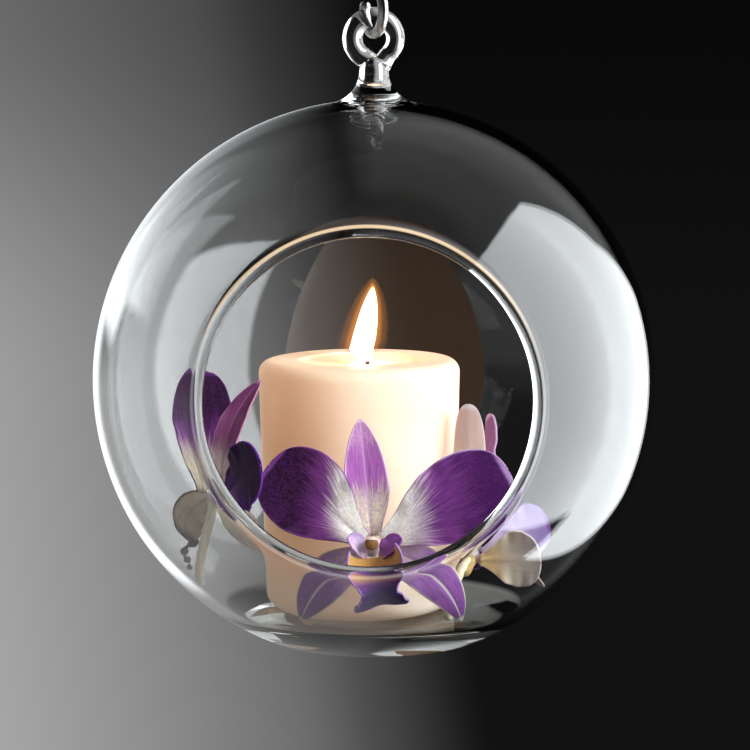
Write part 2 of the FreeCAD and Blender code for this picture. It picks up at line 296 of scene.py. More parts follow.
def turned_layer(rows, top, bottom):
    """A skin of revolution with the opening's disc left out: its points, faces and open edge."""
    turn = np.linspace(0.0, 2.0 * math.pi, longitudes, endpoint=False) + 0.003
    points = [(r * math.cos(a), r * math.sin(a), z) for r, z in rows for a in turn]
    grid = np.array(points)
    directions = grid / np.linalg.norm(grid, axis=1)[:, None]
    kept = directions @ opening_axis < math.cos(collar_angle)
    faces = []
    for i in range(len(rows) - 1):
        for j in range(longitudes):
            k = (j + 1) % longitudes
            low = i * longitudes
            face = (low + j, low + longitudes + j, low + longitudes + k, low + k)
            if kept[list(face)].all():
                faces.append(face)
    used = {}
    for face in faces:
        for a, b in zip(face, face[1:] + face[:1]):
            used[(a, b)] = True
    last_row = (len(rows) - 1) * longitudes
    ring = {}
    for a, b in used:
        if (b, a) not in used and longitudes <= a < last_row and longitudes <= b < last_row:
            ring[b] = a
    start = next(iter(ring))
    loop = [start]
    while ring[loop[-1]] != start:
        loop.append(ring[loop[-1]])
    points += [(0, 0, top), (0, 0, bottom)]
    for j in range(longitudes):
        k = (j + 1) % longitudes
        faces.append((len(points) - 2, j, k))
        faces.append((len(points) - 1, last_row + k, last_row + j))
    return points, faces, loop


def opening_point(angle, turn, height):
    """Point at an angle from the opening's axis and a turn round it, at a height from the centre."""
    side = opening_right * math.cos(turn) + opening_up * math.sin(turn)
    return (opening_axis * math.cos(angle) + side * math.sin(angle)) * height


def bead_point(turn, around):
    """Point on the melted rim's bead. Hand-made glass, so the bead swells a little here and there."""
    side = opening_right * math.cos(turn) + opening_up * math.sin(turn)
    radial = opening_axis * math.cos(rim_angle) + side * math.sin(rim_angle)
    inward = opening_axis * math.sin(rim_angle) - side * math.cos(rim_angle)
    size = bead_radius * (1.0 + 0.03 * math.sin(3.0 * turn + 1.0) + 0.02 * math.sin(8.0 * turn))
    return radial * (middle_radius + size * math.sin(around)) + inward * size * math.cos(around)


def hand_blown(point):
    """The point in the holder's frame. Blown glass is never quite round, so its skin waves a little."""
    distance = np.linalg.norm(point)
    x, y, z = point / distance
    wave = math.sin(7.0 * x + 2.0) * math.sin(6.0 * z + 1.0) + 0.6 * math.sin(11.0 * y + 5.0 * z)
    return tuple(point * (1.0 + blown_wave * wave / distance) + np.array(globe_centre))


def turn_of(point):
    """The turn round the opening's axis at which a point lies."""
    point = np.array(point)
    return math.atan2(point @ opening_up, point @ opening_right)


def globe_skin():
    """The outer and inner skins, joined across the opening's edge by the melted bead."""
    points, faces, outer_loop = turned_layer(*outer_profile())
    inner_points, inner_faces, inner_loop = turned_layer(*inner_profile())
    shift = len(points)
    points += inner_points
    faces += [tuple(i + shift for i in face) for face in inner_faces]
    inner_loop = [i + shift for i in inner_loop]
    turns = [turn_of(points[i]) for i in outer_loop]
    apart = [abs(math.remainder(turn_of(points[i]) - turns[0], 2.0 * math.pi)) for i in inner_loop]
    first = apart.index(min(apart))
    inner_loop = inner_loop[first:] + inner_loop[:first]
    for loop, height in ((outer_loop, globe_radius), (inner_loop, globe_radius - wall)):
        for i, turn in zip(loop, turns):
            points[i] = tuple(opening_point(collar_angle, turn, height))
    swell = [(collar_angle + (rim_angle - collar_angle) * t, wall / 2 + (bead_radius - wall / 2) * t ** 2.2)
             for t in np.linspace(0.0, 1.0, 9)[1:-1]]
    rounds = np.linspace(math.pi / 2.0, -math.pi / 2.0, 19)
    rings = [[opening_point(angle, turn, middle_radius + height) for turn in turns]
             for angle, height in swell]
    rings += [[bead_point(turn, around) for turn in turns] for around in rounds]
    rings += [[opening_point(angle, turn, middle_radius - height) for turn in turns]
              for angle, height in reversed(swell)]
    rows = [outer_loop]
    for ring in rings:
        rows.append(range(len(points), len(points) + len(turns)))
        points += [tuple(point) for point in ring]
    rows.append(inner_loop)
    for above, below in zip(rows, rows[1:]):
        for n in range(len(turns)):
            m = (n + 1) % len(turns)
            faces.append((above[n], above[m], below[m], below[n]))
    return [hand_blown(np.array(p)) for p in points], faces


def rod_skin(centres, radii, sideways, segments=28):
    """A round rod through centres that lie in one plane, with rounded ends."""
    steps = np.gradient(np.array(centres), axis=0)
    along = [s / np.linalg.norm(s) for s in steps]
    sideways = np.array(sideways)
    stations = []
    for end, sign in ((0, -1.0), (-1, 1.0)):
        radius = radii[end]
        cap = [(centres[end] + along[end] * sign * radius * math.sin(a), radius * math.cos(a), along[end])
               for a in np.linspace(0.0, math.pi / 2.0, 8)[1:-1]]
        stations.append(cap[::-1] if end == 0 else cap)
    stations = stations[0] + list(zip(centres, radii, along)) + stations[1]
    points = []
    for centre, radius, direction in stations:
        across = np.cross(direction, sideways)
        for n in range(segments):
            a = 2.0 * math.pi * n / segments
            points.append(tuple(centre + radius * (across * math.cos(a) + sideways * math.sin(a))))
    points.append(tuple(centres[0] - along[0] * radii[0]))
    points.append(tuple(centres[-1] + along[-1] * radii[-1]))
    return points, closed_faces(len(stations), segments, 0, len(points) - 2, len(points) - 1)


eye_centre = np.array((0.0, 0.0, 0.1615))
eye_loop_radius = 0.0057
eye_root = np.array((0.0003, 0.0, 0.152))
eye_touch = math.radians(-52.5)
eye_tail = math.radians(252.0)
eye_rod = {"right": 0.0024, "left": 0.0027, "root_swell": 0.0006}
eye_joint_heights = (0.1535, 0.1585)


def eye_path():
    """The eye's rod rises from the neck, curls round once and touches itself. It swells at its root."""
    loop = [eye_centre + eye_loop_radius * np.array((math.cos(a), 0.0, math.sin(a)))
            for a in np.linspace(eye_touch, eye_tail, 72)]
    centres = [eye_root + (loop[0] - eye_root) * t for t in np.linspace(0.0, 1.0, 9)[:-1]] + loop
    share = np.linspace(0.0, 1.0, len(centres))
    radii = eye_rod["right"] + (eye_rod["left"] - eye_rod["right"]) * np.clip(share * 1.6 - 0.2, 0, 1)
    radii += eye_rod["root_swell"] * np.clip(1.0 - share * 9.0, 0, 1)
    return centres, list(radii)


# Below this height the glass is painted grey as shade in the thick foot.
foot_shade_top = 0.016
# The painted highlight line on the bead: its offset from the rim, its width and its depth.
highlight_offset = 0.00115
highlight_width = (0.0002, 0.0006)
highlight_depth = (0.058, 0.0595)

clear = new_finish("clear_glass")
place = clear.place()
drift = clear.noise(place, 22.0, 2.0)
x, y, z = clear.axes(place)
tint = clear.mix(drift, (0.972, 0.984, 0.984), (0.99, 0.994, 0.996))
# Painted shade: the glass turns grey low down, in the thick foot under the candle.
tint = clear.mix((foot_shade_top - z).step(-0.004, 0.008), tint, (0.62, 0.63, 0.60))
# Painted highlight: the glass glows in a thin warm line along the melted bead's outer edge, most of all at
# the top, a painted reflection of the flame's light.
above = (z - globe_centre.z) * math.cos(opening_tilt) + y * math.sin(opening_tilt)
across = (x * x + above * above) ** 0.5
off_line = abs(across - rim_radius - highlight_offset).step(*highlight_width)
painted_rim_highlight = (1.0 - off_line) * (y * -1.0).step(*highlight_depth)
painted_highlight_colour = clear.mix((above / across).step(0.1, 0.95), (0.16, 0.17, 0.18), (1.0, 0.74, 0.46))
clear.set(Base_Color=tint, Roughness=0.0, IOR=1.46, Transmission_Weight=1.0, Emission_Strength=0.8,
          Emission_Color=clear.mix(painted_rim_highlight, (0.0, 0.0, 0.0), painted_highlight_colour))
letting_light = clear.node("ShaderNodeBsdfTransparent", None, {"Color": (0.93, 0.94, 0.94)})
shadow = clear.node("ShaderNodeLightPath", output="Is Shadow Ray")
passing = clear.node("ShaderNodeMixShader", None, {0: shadow, 2: letting_light})
clear.tree.links.new(clear.surface.outputs[0], passing.socket.node.inputs[1])
clear.tree.links.new(passing.socket, clear.output.inputs["Surface"])

globe = piece("blown_globe", *globe_skin(), clear.owner)
outward(globe)
eye = piece("eye_rod", *rod_skin(*eye_path(), (0.0, 1.0, 0.0)), clear.owner)
outward(eye)
fusing = globe.modifiers.new("fused_eye", "BOOLEAN")
fusing.operation = "UNION"
fusing.solver = "MANIFOLD"
fusing.object = eye
bake(globe)
bpy.data.objects.remove(eye)
molten = bmesh.new()
molten.from_mesh(globe.data)
joint = [v for v in molten.verts if eye_joint_heights[0] < v.co.z < eye_joint_heights[1]]
for _ in range(6):
    bmesh.ops.smooth_vert(molten, verts=joint, factor=0.4, use_axis_x=True, use_axis_y=True, use_axis_z=True)
molten.to_mesh(globe.data)
molten.free()
globe.data.shade_smooth()
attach(globe, "root")
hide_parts("glass_globe")

# The hook is a length of bright drawn steel wire, bent by hand to an S. Its lower bend passes
# through the glass eye and its upper bend goes over a nail or a rail.
wire_diameter = 0.0028
bend_radius = 0.006
lower_bend = Vector((0.0, 0.0, 0.1688))
upper_bend = Vector((0.0, 0.0, 0.1988))
hook_yaw = math.radians(25.0)
hook_tip = 168.0
cap_steps = 6


def hook_line():
    spacing = (upper_bend - lower_bend).length
    lean = math.degrees(math.asin(2.0 * bend_radius / spacing))
    bends = ((lower_bend, hook_tip, 360.0 + lean), (upper_bend, 180.0 + lean, hook_tip - 180.0))
    line = []
    for centre, first, last in bends:
        for a in np.linspace(math.radians(first), math.radians(last), 40):
            out = bend_radius * math.cos(a)
            line.append(centre + Vector((out * math.sin(hook_yaw), -out * math.cos(hook_yaw),
                                         bend_radius * math.sin(a))))
    return line


def round_tube(name, line, diameter, material, taper=None, sides=24):
    """A rod that follows a line, made by Geometry Nodes from a curve and a round section."""
    curve = bpy.data.curves.new(name, "CURVE")
    curve.dimensions = "3D"
    spline = curve.splines.new("POLY")
    spline.points.add(len(line) - 1)
    for n, point in enumerate(line):
        spline.points[n].co = (*point, 1.0)
        spline.points[n].radius = taper[n] if taper else 1.0
    made = bpy.data.objects.new(name, curve)
    bpy.context.collection.objects.link(made)
    tree = bpy.data.node_groups.new(name, "GeometryNodeTree")
    tree.interface.new_socket("Geometry", in_out="INPUT", socket_type="NodeSocketGeometry")
    width = tree.interface.new_socket("Diameter", in_out="INPUT", socket_type="NodeSocketFloat")
    tree.interface.new_socket("Geometry", in_out="OUTPUT", socket_type="NodeSocketGeometry")
    link = tree.links.new

    def step(kind, **sockets):
        added = tree.nodes.new(kind)
        for socket, value in sockets.items():
            added.inputs[socket.replace("_", " ")].default_value = value
        return added

    start = step("NodeGroupInput")
    half = step("ShaderNodeMath")
    half.operation = "MULTIPLY"
    half.inputs[1].default_value = 0.5
    section = step("GeometryNodeCurvePrimitiveCircle", Resolution=sides)
    sweep = step("GeometryNodeCurveToMesh", Fill_Caps=True)
    link(start.outputs["Diameter"], half.inputs[0])
    link(half.outputs[0], section.inputs["Radius"])
    link(start.outputs["Geometry"], sweep.inputs["Curve"])
    link(section.outputs["Curve"], sweep.inputs["Profile Curve"])
    if "Scale" in sweep.inputs:
        link(step("GeometryNodeInputRadius").outputs[0], sweep.inputs["Scale"])
    merge = step("GeometryNodeMergeByDistance", Distance=1e-6)
    realize = step("GeometryNodeRealizeInstances")
    paint = step("GeometryNodeSetMaterial", Material=material)
    chain = [sweep, merge, realize, paint, step("NodeGroupOutput")]
    for before, after in zip(chain, chain[1:]):
        link(before.outputs[0], after.inputs[0])
    growing = made.modifiers.new("swept", "NODES")
    growing.node_group = tree
    growing[width.identifier] = diameter
    bpy.context.view_layer.update()
    graph = bpy.context.evaluated_depsgraph_get()
    mesh = bpy.data.meshes.new_from_object(made.evaluated_get(graph))
    bpy.data.objects.remove(made)
    mesh.name = name
    finished = bpy.data.objects.new(name, mesh)
    bpy.context.collection.objects.link(finished)
    if not mesh.materials:
        mesh.materials.append(material)
    outward(finished)
    return finished


def rounded_ends(line, diameter):
    """Extra points and their widths, so that a tube's ends are round."""
    radius = diameter / 2.0
    head = (line[0] - line[1]).normalized()
    tail = (line[-1] - line[-2]).normalized()
    angles = np.linspace(math.pi / 2.0 - 0.05, 0.12, cap_steps)
    first = [(line[0] + head * radius * math.sin(a), math.cos(a)) for a in angles]
    last = [(line[-1] + tail * radius * math.sin(a), math.cos(a)) for a in reversed(angles)]
    stations = first + [(p, 1.0) for p in line] + last
    return [p for p, _ in stations], [w for _, w in stations]


drawn_wire = new_finish("bright_steel")
place = drawn_wire.place()
x, y, z = drawn_wire.axes(place)
lines = drawn_wire.noise(drawn_wire.join(x, y, z * 0.06), 2600.0, 2.0)
smudge = drawn_wire.noise(place, 160.0, 3.0)
drawn_wire.set(Metallic=1.0, Base_Color=drawn_wire.mix(smudge, shade(150, 146, 146), shade(196, 193, 192)),
               Roughness=0.2 + smudge * 0.16, Normal=drawn_wire.bump(lines, 0.00004, 0.3))
wire_line, wire_taper = rounded_ends(hook_line(), wire_diameter)
hook = round_tube("s_hook", wire_line, wire_diameter, drawn_wire.owner, wire_taper)
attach(hook, "root")
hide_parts("steel_hook")

# The pillar candle is a poured cylinder of ivory wax with a softened shoulder and a shallow pool
# of melted wax round its wick. It stands a little left of the globe's axis on the thick glass foot.
candle_axis = Vector((-0.0038, 0.0, 0.0))
candle_foot = 0.0094
candle_top = 0.0766
candle_head_radius = 0.027
candle_foot_radius = 0.0255
edge_radius = 0.004
shoulder_radius = 0.0034
pool_radius = 0.0155
pool_depth = 0.0015
candle_play = 0.0003
wick_axis = Vector((-0.0018, 0.0, 0.0))


def candle_profile():
    """The candle's outline from its foot, round its lower edge, up its side and into its pool."""
    low = candle_foot + edge_radius
    rows = [(candle_foot_radius - edge_radius + edge_radius * math.sin(a), low - edge_radius * math.cos(a))
            for a in np.linspace(0.0, math.pi / 2.0, 9)]
    rows = [(candle_foot_radius * share, candle_foot) for share in (0.3, 0.6)] + rows
    side = np.linspace(0.0, 1.0, 48)[1:]
    top = candle_top - shoulder_radius
    rows += [(candle_foot_radius + (candle_head_radius - candle_foot_radius) * t,
              low + (top - candle_foot - edge_radius) * t) for t in side]
    flat_edge = candle_head_radius - shoulder_radius
    rows += [(flat_edge + shoulder_radius * math.cos(a), top + shoulder_radius * math.sin(a))
             for a in np.linspace(0.0, math.pi / 2.0, 10)[1:]]
    rows += [(r, candle_top) for r in np.linspace(flat_edge, pool_radius, 6)[1:]]
    rows += [(pool_radius * math.cos(a), candle_top - pool_depth * math.sin(a))
             for a in np.linspace(0.12, math.pi / 2.0, 16)[:-1]]
    return rows


def turned_candle():
    """The candle's skin. Poured wax sags a little, so its side waves and its rim isn't quite level."""
    rows = candle_profile()
    columns = 160
    points = [(0.0, 0.0, candle_foot), (0.0, 0.0, candle_top - pool_depth)]
    for radius, height in rows:
        for a in np.linspace(0.0, 2.0 * math.pi, columns, endpoint=False):
            sag = 0.00022 * math.sin(2.0 * a + 0.7) + 0.00015 * math.sin(5.0 * a + height * 60.0)
            lift = 0.0003 * math.sin(a + 0.4) if height > candle_top - 0.005 else 0.0
            swell = radius + sag * min(1.0, radius / 0.02) - candle_play
            lift -= candle_play * (height > 0.07)
            points.append((swell * math.cos(a), swell * math.sin(a), height + lift))
    return [Vector(p) + candle_axis for p in points], closed_faces(len(rows), columns, 2, 0, 1)


wax = new_finish("ivory_wax")
place = wax.place()
x, y, z = wax.axes(place)
bloomed = wax.noise(place, 60.0, 3.0)
runs = wax.noise(wax.join(x * 300.0, y * 300.0, z * 18.0), 1.0, 2.0)
away = wax.node("ShaderNodeVectorMath", {"operation": "DISTANCE"},
                {0: place, 1: (wick_axis.x, 0.0, candle_top + 0.004)}, 1)
# Painted glow: the wax emits warm light, strongest round the flame and towards the top, standing in for the
# flame's light shining through the wax.
painted_flame_glow = (away / -0.008).maths("EXPONENT", away / -0.008)
painted_depth_glow = (candle_top - z).step(0.075, 0.0)
ivory = wax.mix(bloomed.step(0.3, 0.75), shade(248, 234, 214), shade(251, 241, 226))
painted_warm_glow = wax.mix(painted_depth_glow, (0.12, 0.05, 0.012), (0.34, 0.12, 0.012))
wax.set(Base_Color=ivory, Roughness=0.42 + bloomed * 0.14, Subsurface_Weight=0.2, Subsurface_Scale=0.005,
        Subsurface_Radius=(1.0, 0.5, 0.25), Coat_Weight=0.15, Coat_Roughness=0.3,
        Emission_Color=wax.mix(painted_flame_glow.least(1.0), painted_warm_glow, (1.0, 0.55, 0.2)), Emission_Strength=1.0,
        Normal=wax.bump(runs * 0.5 + bloomed, 0.0002, 0.35))
candle = piece("pillar_of_wax", *turned_candle(), wax.owner)
outward(candle)
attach(candle, "root")
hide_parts("pillar_candle")

# The wick is a braid of three cotton strands, charred black where it stands in the flame
# and curled over to the right, with an ember at its tip.
wick_width = 0.0015
wick_bend_height = candle_top + 0.0025
wick_curl = 0.004


def wick_line():
    line = [wick_axis + Vector((0.0, 0.0, h)) for h in np.linspace(candle_top - 0.004, wick_bend_height, 10)]
    middle = wick_axis + Vector((wick_curl, 0.0, wick_bend_height))
    line += [middle + Vector((-wick_curl * math.cos(a), 0.0, wick_curl * math.sin(a)))
             for a in np.linspace(0.0, math.radians(50.0), 12)[1:]]
    return line


cotton = new_finish("charred_cotton")
place = cotton.place()
char = cotton.noise(place, 1800.0, 3.0)
ember = (cotton.axes(place)[2] - wick_bend_height).step(0.0018, 0.0032)
cotton.set(Base_Color=cotton.mix(char, shade(22, 17, 14), shade(62, 48, 38)), Roughness=0.75 + char * 0.2,
           Emission_Color=cotton.mix(ember * char, (0.0, 0.0, 0.0), (1.0, 0.25, 0.04)), Emission_Strength=2.5,
           Normal=cotton.bump(char, 0.00008, 0.8))
for number in range(3):
    twisted = []
    for n, point in enumerate(wick_line()):
        a = n * 1.05 + number * 2.0 * math.pi / 3.0
        twisted.append(point + Vector((math.cos(a), math.sin(a), 0.0)) * wick_width * 0.2)
    strand = round_tube("wick_strand_%d" % number, twisted, wick_width * 0.55, cotton.owner, None, 10)
    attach(strand, "root")
    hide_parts("wick")

# The flame is burning wax vapour: a bright drop that leans right, inside a thin orange mantle.
# It stands in the pool round the wick, and blue gas shows at its foot.
flame_foot = 0.0751
flame_height = 0.0209
flame_width = 0.0071
flame_belly = 0.2
flame_lean = {"foot": -0.0022, "belly": -0.0034, "tip": -0.0003}


def flame_skin(spread):
    """A drop of revolution round a leaning line, widest at its belly. Spread widens it for the mantle."""
    rows = 44
    columns = 36
    lift = flame_width * (spread - 1.0) * 0.35
    points = []
    for n in range(rows + 1):
        t = n / rows
        above = (t - flame_belly) / (1.0 - flame_belly)
        if above > 0.0:
            lean = flame_lean["belly"] + (flame_lean["tip"] - flame_lean["belly"]) * above ** 0.8
            share = (1.0 - above ** 2) ** 0.75
        else:
            lean = flame_lean["belly"] + (flame_lean["foot"] - flame_lean["belly"]) * (1.0 - t / flame_belly)
            share = math.sqrt(1.0 - (1.0 - t / flame_belly) ** 2)
        middle = Vector((lean, 0.0, flame_foot + flame_height * t + lift * t))
        radius = flame_width / 2.0 * spread * share
        if n in (0, rows):
            points.append(middle)
            continue
        for j in range(columns):
            a = 2.0 * math.pi * j / columns
            points.append(middle + Vector((radius * math.cos(a), radius * 0.85 * math.sin(a), 0.0)))
    return points, closed_faces(rows - 1, columns, 1, 0, len(points) - 1)


burning = new_finish("flame_core")
rise = (burning.axes(burning.place())[2] - flame_foot) / flame_height
heat = burning.node("ShaderNodeValToRGB", {"stops": [(0.0, (0.30, 0.32, 0.9)), (0.07, (1.0, 0.55, 0.18)),
                                                     (0.2, (1.0, 0.86, 0.56)), (0.8, (1.0, 0.90, 0.66)),
                                                     (1.0, (1.0, 0.62, 0.22))]}, {"Fac": rise})
burning.set(Base_Color=(0.0, 0.0, 0.0), Roughness=1.0, Specular_IOR_Level=0.0, Emission_Color=heat,
            Emission_Strength=9.0, Alpha=rise.step(0.0, 0.14))
core = piece("flame_core", *flame_skin(0.88), burning.owner)


def mantle_finish(name, thickness):
    """Thin glowing gas, thinner to its edge. Thickness is the share that it hides in its middle."""
    gas = new_finish(name)
    rise = (gas.axes(gas.place())[2] - flame_foot) / flame_height
    depth = 1.0 - gas.node("ShaderNodeLayerWeight", None, {"Blend": 0.5}, 1)
    gas.set(Base_Color=(0.0, 0.0, 0.0), Roughness=1.0, Specular_IOR_Level=0.0,
            Emission_Color=gas.mix(rise.step(0.0, 0.2), (0.2, 0.25, 0.9), (1.0, 0.36, 0.08)),
            Emission_Strength=1.0, Alpha=rise.step(0.02, 0.3) * depth * depth * thickness)
    return gas.owner


mantle = piece("flame_mantle", *flame_skin(1.35), mantle_finish("flame_mantle", 0.5))
halo = piece("flame_halo", *flame_skin(1.9), mantle_finish("flame_halo", 0.16))
for drop in (core, mantle, halo):
    outward(drop)
    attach(drop, "root")


def hidden_lamp(name, kind, power, colour, place):
    """A lamp that lights the pieces and isn't seen itself."""
    light = bpy.data.lights.new(name, kind)
    light.energy = power
    light.color = colour
    lamp = bpy.data.objects.new(name, light)
    lamp.location = place
    lamp.visible_glossy = False
    lamp.visible_transmission = False
    lamp.visible_camera = False
    bpy.context.collection.objects.link(lamp)
    return lamp


flame_middle = (flame_lean["belly"] * 0.5, 0.0, flame_foot + flame_height * 0.5)
flame_lamp = hidden_lamp("flame_light", "POINT", 0.045, (1.0, 0.62, 0.28), flame_middle)
flame_lamp.data.shadow_soft_size = 0.003

# Each orchid bloom has three sepals, two broad petals and a lip round a small column, on a waxy
# stem. The tissue is thin and velvety, cream at the root and violet outwards, with fine veins.
globe_cavity = 0.0726
stem_diameter = 0.0022
stem_stations = 36
spur_diameter = 0.0044
heart_diameter = 0.0046
petal_play = 0.0003
tepal_thickness = 0.0005


def unit(vector):
    return vector.normalized()


def wall_place(azimuth, height, setback):
    """A place on the inside of the globe: height above its floor, setback from its wall, in millimetres."""
    azimuth = math.radians(azimuth)
    drop = -floor_height - height / 1000.0
    out = math.sqrt((globe_cavity - setback / 1000.0) ** 2 - drop ** 2)
    return globe_centre + Vector((out * math.sin(azimuth), -out * math.cos(azimuth), -drop))


def tepal_width(share, widest, root_share, tip_power):
    if share < widest:
        return root_share + (1.0 - root_share) * math.sin(math.pi / 2.0 * share / widest) ** 1.4
    past = (share - widest) / (1.0 - widest)
    return max((1.0 - past ** 2) ** tip_power, 0.05)


def petal_shape(share):
    return tepal_width(share, 0.62, 0.2, 0.36)


def sepal_shape(share):
    return tepal_width(share, 0.4, 0.42, 0.75)


def lip_shape(share):
    lobes = 0.74 + 0.16 * math.cos(2.0 * math.pi * (share - 0.16) / 0.66)
    if share < 0.82:
        return lobes
    return lobes * math.sqrt(max(1.0 - ((share - 0.82) / 0.2) ** 2, 0.02))


tepal_shapes = {"petal": petal_shape, "sepal": sepal_shape, "lip": lip_shape}


def tepal(name, finish, heart, facing, kind, tip, face, width, bow, sway, cup, end_cup, forward,
          frill=0.0, frill_count=5.0, crease=0.0, phase=0.0):
    """A petal, sepal or lip as a thin curved sheet. Its own map runs across and along it."""
    tip = Vector(tip) / 1000.0
    face = Vector(face)
    along = unit(tip)
    out = unit(face - along * face.dot(along))
    sideways = along.cross(out) * sway
    start = along + sideways * 4.0
    outward_direction = unit(start - facing * start.dot(facing))
    reach = (heart_diameter + 0.0008) / 2.0 + petal_play
    root = heart + outward_direction * reach + facing * forward / 1000.0
    chord = heart + tip - root
    length = chord.length
    along = unit(chord)
    out = unit(face - along * face.dot(along))
    bulge = out * bow + along.cross(out) * sway
    rows = 64
    columns = 30
    points = []
    across_map = []
    for i in range(rows + 1):
        share = math.sin(math.pi / 2.0 * i / rows) ** 0.9
        middle = root + chord * share + bulge * (length * 4.0 * share * (1.0 - share))
        tangent = unit(along + bulge * (4.0 * (1.0 - 2.0 * share)))
        normal = unit(out - tangent * out.dot(tangent))
        side = tangent.cross(normal)
        depth = cup + (end_cup - cup) * min(share / 0.6, 1.0)
        half = width / 2000.0 * tepal_shapes[kind](share)
        rise = max(abs(depth), 0.02) * half
        radius = (half ** 2 + rise ** 2) / (2.0 * rise)
        half_angle = 2.0 * math.atan2(rise, half)
        towards = normal if depth > 0 else -normal
        centre = middle + towards * radius
        for j in range(columns + 1):
            u = 2.0 * j / columns - 1.0
            u = math.copysign(abs(u) ** 0.85, u)
            angle = half_angle * u
            point = centre + (side * math.sin(angle) - towards * math.cos(angle)) * radius
            wave = math.sin(frill_count * math.pi * share + phase + (1.7 if u > 0 else 0.0))
            wave += 0.5 * math.sin(2.3 * frill_count * math.pi * share + 2.0 * phase)
            ruffle = frill * wave * abs(u) ** 2.4 * math.sin(math.pi * min(share * 1.15, 1.0)) ** 0.5
            groove = -crease * math.exp(-(u / 0.16) ** 2) * (1.0 - share)
            points.append(point + normal * (ruffle + groove))
            across_map.append((0.5 + 0.5 * u, share))
    faces = []
    for i in range(rows):
        for j in range(columns):
            a = i * (columns + 1) + j
            faces.append((a, a + 1, a + columns + 2, a + columns + 1))
    made = piece(name, points, faces, finish.owner)
    own_map = made.data.uv_layers.new(name="tissue")
    for loop in made.data.loops:
        own_map.data[loop.index].uv = across_map[loop.vertex_index]
    thick = made.modifiers.new("tissue", "SOLIDIFY")
    thick.thickness = tepal_thickness
    thick.offset = 0.0
    thick.use_even_offset = False
    bake(made)
    outward(made)
    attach(made, "root")
    return made


def tissue(name, root, middle, deep, root_reach, deep_reach, streak, lean=0.0, rim=None, rim_width=0.05,
           rib=None, rib_strength=0.0, vein=None, vein_strength=0.25, mottle=0.2):
    """Orchid tissue: root colour, middle, then deep towards the tip, streaked along its veins."""
    finish = new_finish(name + "_tissue")
    root = shade(*root)
    middle = shade(*middle)
    deep = shade(*deep)
    u, v, _ = finish.axes(finish.node("ShaderNodeUVMap", {"uv_map": "tissue"}))
    centre = (u - 0.5) * 2.0
    fan = centre / (v * 0.8 + 0.35)
    grain = finish.noise(finish.join(fan * 9.0, v * 1.6, 0.0), 2.2, 5.0, 0.62)
    fine = finish.noise(finish.join(fan * 34.0, v * 5.0, 1.0), 1.6, 3.0)
    speck = finish.noise(finish.place(), 1500.0, 2.0)
    reach = v + (grain - 0.5) * (streak * 2.0) + centre * lean
    colour = finish.mix(reach.step(root_reach - 0.12, root_reach + 0.16), root, middle)
    colour = finish.mix(reach.step(deep_reach - 0.14, deep_reach + 0.18), colour, deep)
    pores = (speck - 0.5).step(-0.12, 0.16) * mottle
    colour = finish.mix(pores, colour, middle)
    if vein:
        lines = fine.step(0.5, 0.64) * v.step(0.05, 0.4) * vein_strength
        colour = finish.mix(lines, colour, shade(*vein))
    if rib:
        line = (1.0 - abs(centre) * 9.0).most(0.0) * rib_strength
        colour = finish.mix(line, colour, shade(*rib))
    if rim:
        edge = (abs(centre) + grain * 0.05).step(1.0 - rim_width, 1.02)
        end = (v + grain * 0.03).step(0.965, 1.0)
        colour = finish.mix(edge.most(end), colour, shade(*rim))
    relief = fine * 0.7 + grain * 0.6 + speck * 0.25
    finish.set(Base_Color=colour, Roughness=0.52 + speck * 0.2, Specular_IOR_Level=0.3, Sheen_Weight=0.04,
               Subsurface_Weight=0.25, Subsurface_Scale=0.0015, Subsurface_Radius=(0.7, 0.4, 0.7),
               Normal=finish.bump(relief, 0.00022, 0.7))
    return finish


column_rows = ((0.0022, -0.0016), (0.0025, -0.0004), (0.0023, 0.0010), (0.0016, 0.0026), (0.0014, 0.0042),
               (0.0017, 0.0056), (0.0017, 0.0064), (0.0011, 0.0071), (0.0003, 0.0073))
column_length = 0.0073
column_droop = 0.0006
anther_reach = 0.0061
anther_height = 0.0014


def column_piece(name, heart, facing, body, cap):
    """The column: a small hooded post in the bloom's middle, with the anther at its end."""
    up = unit(Vector((0.0, 0.0, 1.0)) - facing * facing.z)
    side = facing.cross(up)
    segments = 24
    points = []
    for radius, reach in column_rows:
        middle = heart + facing * reach + up * (column_droop * math.sin(reach / column_length * math.pi))
        for n in range(segments):
            a = 2.0 * math.pi * n / segments
            points.append(middle + (side * math.cos(a) * 1.05 + up * math.sin(a)) * radius)
    points.append(heart + facing * (column_rows[0][1] - 0.0008))
    points.append(heart + facing * (column_rows[-1][1] + 0.0001))
    faces = closed_faces(len(column_rows), segments, 0, len(points) - 2, len(points) - 1)
    made = piece(name, points, faces, body.owner)
    rounding = made.modifiers.new("rounding", "SUBSURF")
    rounding.levels = 2
    rounding.render_levels = 2
    bake(made)
    made.data.materials.append(cap.owner)
    for face in made.data.polygons:
        corner = made.data.vertices[face.vertices[0]].co - heart
        if corner.dot(facing) > anther_reach and corner.dot(up) < anther_height:
            face.material_index = 1
    outward(made)
    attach(made, "root")
    return made


stem_skin = new_finish("cream_stem")
place = stem_skin.place()
x, y, z = stem_skin.axes(place)
ribbed = stem_skin.noise(stem_skin.join(x * 900.0, y * 900.0, z * 120.0), 1.0, 3.0)
stem_skin.set(Base_Color=stem_skin.mix(ribbed, shade(232, 222, 190), shade(250, 244, 226)),
              Roughness=0.45 + ribbed * 0.15, Subsurface_Weight=0.3, Subsurface_Scale=0.002,
              Subsurface_Radius=(1.0, 0.8, 0.4), Normal=stem_skin.bump(ribbed, 0.0002, 0.5))


def grained(name, scale, dark, light, roughness, relief, **more):
    """A finish whose colour, roughness and relief all follow one fine noise."""
    finish = new_finish(name)
    grain = finish.noise(finish.place(), scale, 3.0)
    finish.set(Base_Color=finish.mix(grain, shade(*dark), shade(*light)),
               Roughness=roughness[0] + grain * roughness[1], Normal=finish.bump(grain, *relief), **more)
    return finish


